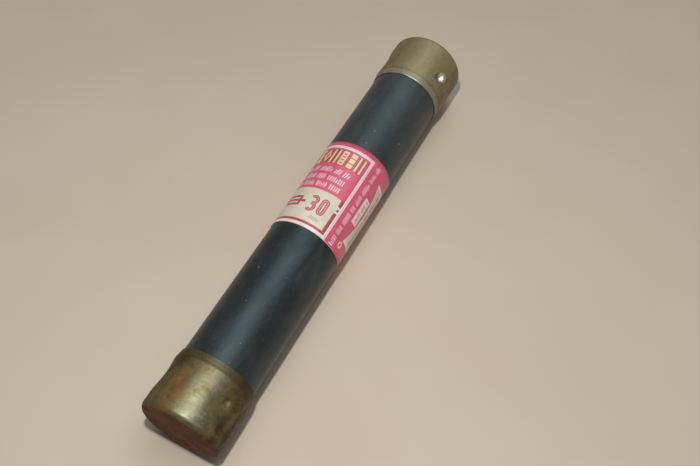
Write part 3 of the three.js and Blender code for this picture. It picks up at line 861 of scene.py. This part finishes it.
def side_panel(rng, mirror):
    """The red part beside the frame: a row of print along the fuse, a pale box and a banner.

    mirror is 1 on the side of -Y. On the other side it is -1 and the layout is turned over."""

    def place(degrees):
        return around(degrees) if mirror > 0 else around(2 * MIRROR_ANGLE - degrees)

    turned_over = around(2 * MIRROR_ANGLE)

    def flip(outline):
        if mirror > 0:
            return outline
        return [(u, turned_over - v) for u, v in outline][::-1]

    def span(a, b):
        return tuple(sorted((place(a), place(b))))

    shapes = bars("cream", span(-54, -46), -8.0, 18.2, rng, False)
    low, high = span(-73, -59.5)
    shapes.append(("cream", box(1.2, 9.3, low, high)))
    shapes += bars("crimson", (low + 0.55, high - 0.55), 1.9, 8.9, rng, False, (0.16, 0.28), 0.3)
    low, top, dip = around(-131), around(-67), 1.9
    shapes.append(("cream", flip(banner(-4.3, 15.2, top, dip, low))))
    shapes.append(("panel", flip(banner(-3.6, 14.6, top - 0.5, dip, low + 0.4))))
    tall = 1.15
    for row in range(4):
        base = top - 2.9 - 1.9 * row
        row_span = (base - tall, base) if mirror > 0 else (turned_over - base, turned_over - base + tall)
        shapes += bars("brown", row_span, -2.8, 13.8, rng, False, (0.2, 0.36), 0.3)
    low, high = span(-71, -62)
    shapes.append(("cream", stadium(-6.7, -4.9, low, high)))
    shapes.append(("red", stadium(-6.35, -5.25, low + 0.35, high - 0.35)))
    return shapes


def label_shapes():
    rng = random.Random(7)
    shapes = [("red", box(LABEL_START, LABEL_END, WRAP_START, WRAP_END))]
    shapes += side_panel(rng, 1)
    shapes += side_panel(rng, -1)
    shapes += main_panel(rng)
    return shapes


def flat_print():
    """The shapes cut into triangles, with lines across them so that the sheet can bend."""
    points, edges, faces = [], [], []
    shapes = label_shapes()
    for _, outline in shapes:
        first = len(points)
        points += [Vector(p) for p in outline]
        faces.append(list(range(first, len(points))))
    for k in range(1, BENDS):
        v = WRAP_START + (WRAP_END - WRAP_START) * k / BENDS
        first = len(points)
        points += [Vector((LABEL_START, v)), Vector((LABEL_END, v))]
        edges.append((first, first + 1))
    for k in range(1, RIBS):
        u = LABEL_START + LABEL_LENGTH * k / RIBS
        first = len(points)
        points += [Vector((u, WRAP_START)), Vector((u, WRAP_END))]
        edges.append((first, first + 1))
    cut = geometry.delaunay_2d_cdt(points, edges, faces, 1, 1e-4)
    corners, triangles, owners = cut[0], cut[2], cut[5]
    inks = [INKS[shapes[max(owner)][0]] if owner else INKS["red"] for owner in owners]
    return corners, triangles, inks


def wrapped(u, v):
    """A flat place on the label as a point on the fuse."""
    angle = v / (WRAP_RADIUS + PAPER)
    lapped = smooth((v - WRAP_END + LAP + LAP_RAMP) / LAP_RAMP)
    edge = min(u - LABEL_START, LABEL_END - u)
    cockle = 0.012 * wander(0.5 * u, 0.4 * v, 1.0) + 0.006 * wander(2.0 * u, 2.0 * v, 3.0)
    radius = WRAP_RADIUS + PAPER + 0.02 + lapped * (PAPER + 0.02) + cockle
    ragged = 0.05 * wander(0.0, 1.3 * v, u) * (1 - smooth(edge / 0.5))
    return u + ragged, radius * math.sin(angle), radius * math.cos(angle)


def make_label(printed, paper):
    corners, triangles, inks = flat_print()
    points = [wrapped(u, v) for u, v in corners]
    piece = mesh_piece("label_sheet", points, triangles, [printed, paper])
    mesh = piece.data
    colours = mesh.color_attributes.new("ink", "FLOAT_COLOR", "CORNER")
    for polygon in mesh.polygons:
        for corner in polygon.loop_indices:
            colours.data[corner].color = rgb(*inks[polygon.index])
    if sum(p.normal.y * p.center.y + p.normal.z * p.center.z for p in mesh.polygons) < 0:
        mesh.flip_normals()
    thick = piece.modifiers.new("paper", "SOLIDIFY")
    thick.thickness = PAPER * MM
    thick.offset = -1
    thick.material_offset = 1
    thick.material_offset_rim = 1
    belongs(piece, "casing", "label_paper", "label_wrap")


# ---------------------------------------------------------------- pieces inside the casing
def make_spring(material):
    """The trigger's spring, with a small flat turn at each end that sits behind a button head."""
    low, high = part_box("trigger_spring")
    wire = 0.22
    start, end = low.x / MM + wire, high.x / MM - wire
    turns, end_turns, flat = 8, 0.75, 1.25
    small, large = 0.95, 2.2
    per_turn, sides = 48, 14
    points, faces = [], []

    def centre(turn):
        from_end = min(turn, turns - turn)
        radius = small + (large - small) * smooth((from_end - end_turns) / (flat - end_turns))
        advance = min(1.0, max(0.0, (turn - flat) / (turns - 2 * flat)))
        angle = 2 * math.pi * turn
        return Vector((start + (end - start) * advance, radius * math.cos(angle), radius * math.sin(angle)))

    count = turns * per_turn
    for step in range(count + 1):
        turn = step / per_turn
        here = centre(turn)
        ahead = centre(min(turn + 0.01, turns)) - centre(max(turn - 0.01, 0))
        outward = Vector((0, here.y, here.z)).normalized()
        outward = (outward - ahead.normalized() * outward.dot(ahead.normalized())).normalized()
        third = ahead.normalized().cross(outward)
        for side in range(sides):
            angle = 2 * math.pi * side / sides
            points.append(here + wire * (math.cos(angle) * outward + math.sin(angle) * third))
    for step in range(count):
        for side in range(sides):
            after = (side + 1) % sides
            a, b = step * sides, (step + 1) * sides
            faces.append((a + side, a + after, b + after, b + side))
    faces.append(tuple(range(sides)))
    faces.append(tuple(range(count * sides, (count + 1) * sides)))
    piece = mesh_piece("spring_coil", points, faces, [material])
    belongs(piece, "casing", "spring_steel", "trigger_spring")
    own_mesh(piece)


def dress_inside():
    """Materials for the CAD pieces that stay: their shapes are right as they are."""
    finishes = {
        "fibre_grey": plain_material(
            "grey_fibre", (0.34, 0.32, 0.27), (0.46, 0.44, 0.38), metallic=0, roughness=0.85, size=1.2
        ),
        "solder": plain_material(
            "tin_solder", (0.50, 0.51, 0.52), (0.68, 0.69, 0.70), metallic=1, roughness=0.38, size=1.5
        ),
        "copper": plain_material(
            "rolled_copper", (0.55, 0.24, 0.13), (0.78, 0.40, 0.25), 1, 0.3, 2.0, relief=0.02, stretch=8
        ),
        "plaster": plain_material(
            "filler_plaster", (0.66, 0.62, 0.52), (0.84, 0.81, 0.73), 0, 0.95, size=2.5, relief=0.12
        ),
        "resistance_alloy": plain_material(
            "heater_alloy", (0.32, 0.30, 0.28), (0.47, 0.45, 0.42), metallic=1, roughness=0.35, size=2.0
        ),
        "turned_brass": plain_material(
            "clean_brass", (0.60, 0.43, 0.16), (0.74, 0.57, 0.28), 1, 0.25, size=1.0, relief=0.02
        ),
    }
    slots = {part["node"]: part["material_slot"] for part in frame["record"]["subparts"]}
    for name, node in frame["nodes"].items():
        if slots[name] in finishes:
            node.material_slots[0].material = finishes[slots[name]]


# ---------------------------------------------------------------- assembly
make_camera()
make_lights()
make_floor(floor_material())

# This cap is darker than the far one: its own browner patina, and painted shade that darkens the -X end.
near_brass = ferrule_material(
    "brass_near",
    shift=1.0,
    metal=(rgb(0.24, 0.253, 0.177), rgb(0.21, 0.165, 0.062)),
    patina=rgb(0.036, 0.021, 0.0095),
    dark=rgb(0.020, 0.013, 0.007),
    rim=(rgb(0.055, 0.033, 0.018), 0.5),
    ends=(rgb(0.10, 0.033, 0.018), rgb(0.20, 0.068, 0.032)),
    finish=(0.44, 0.85, 0.12, 0.06, 0.05),
    patch=(-57.5, 2.4, 10.0),
)
far_brass = ferrule_material(
    "brass_far",
    shift=40.0,
    metal=(rgb(0.37, 0.345, 0.20), rgb(0.33, 0.265, 0.115)),
    patina=rgb(0.17, 0.12, 0.06),
    dark=rgb(0.10, 0.075, 0.04),
    rim=(rgb(0.31, 0.325, 0.265), 0.45),
    ends=(rgb(0.12, 0.062, 0.032), rgb(0.27, 0.185, 0.09)),
    finish=(0.45, 0.6, 0.32, 0.2, 0.95),
)
make_ferrule(-1, "cap_left", "ferrule_left", near_brass)
make_ferrule(1, "cap_right", "ferrule_right", far_brass)
make_tube(tube_material())
paper_core = plain_material("bare_paper", (0.62, 0.57, 0.50), (0.74, 0.70, 0.63), 0, 0.9, 3.0, 0.02)
make_label(print_material(), paper_core)
make_spring(plain_material("spring_wire", (0.42, 0.43, 0.44), (0.56, 0.57, 0.58), 1, 0.25, 2.0, 0.01))
dress_inside()
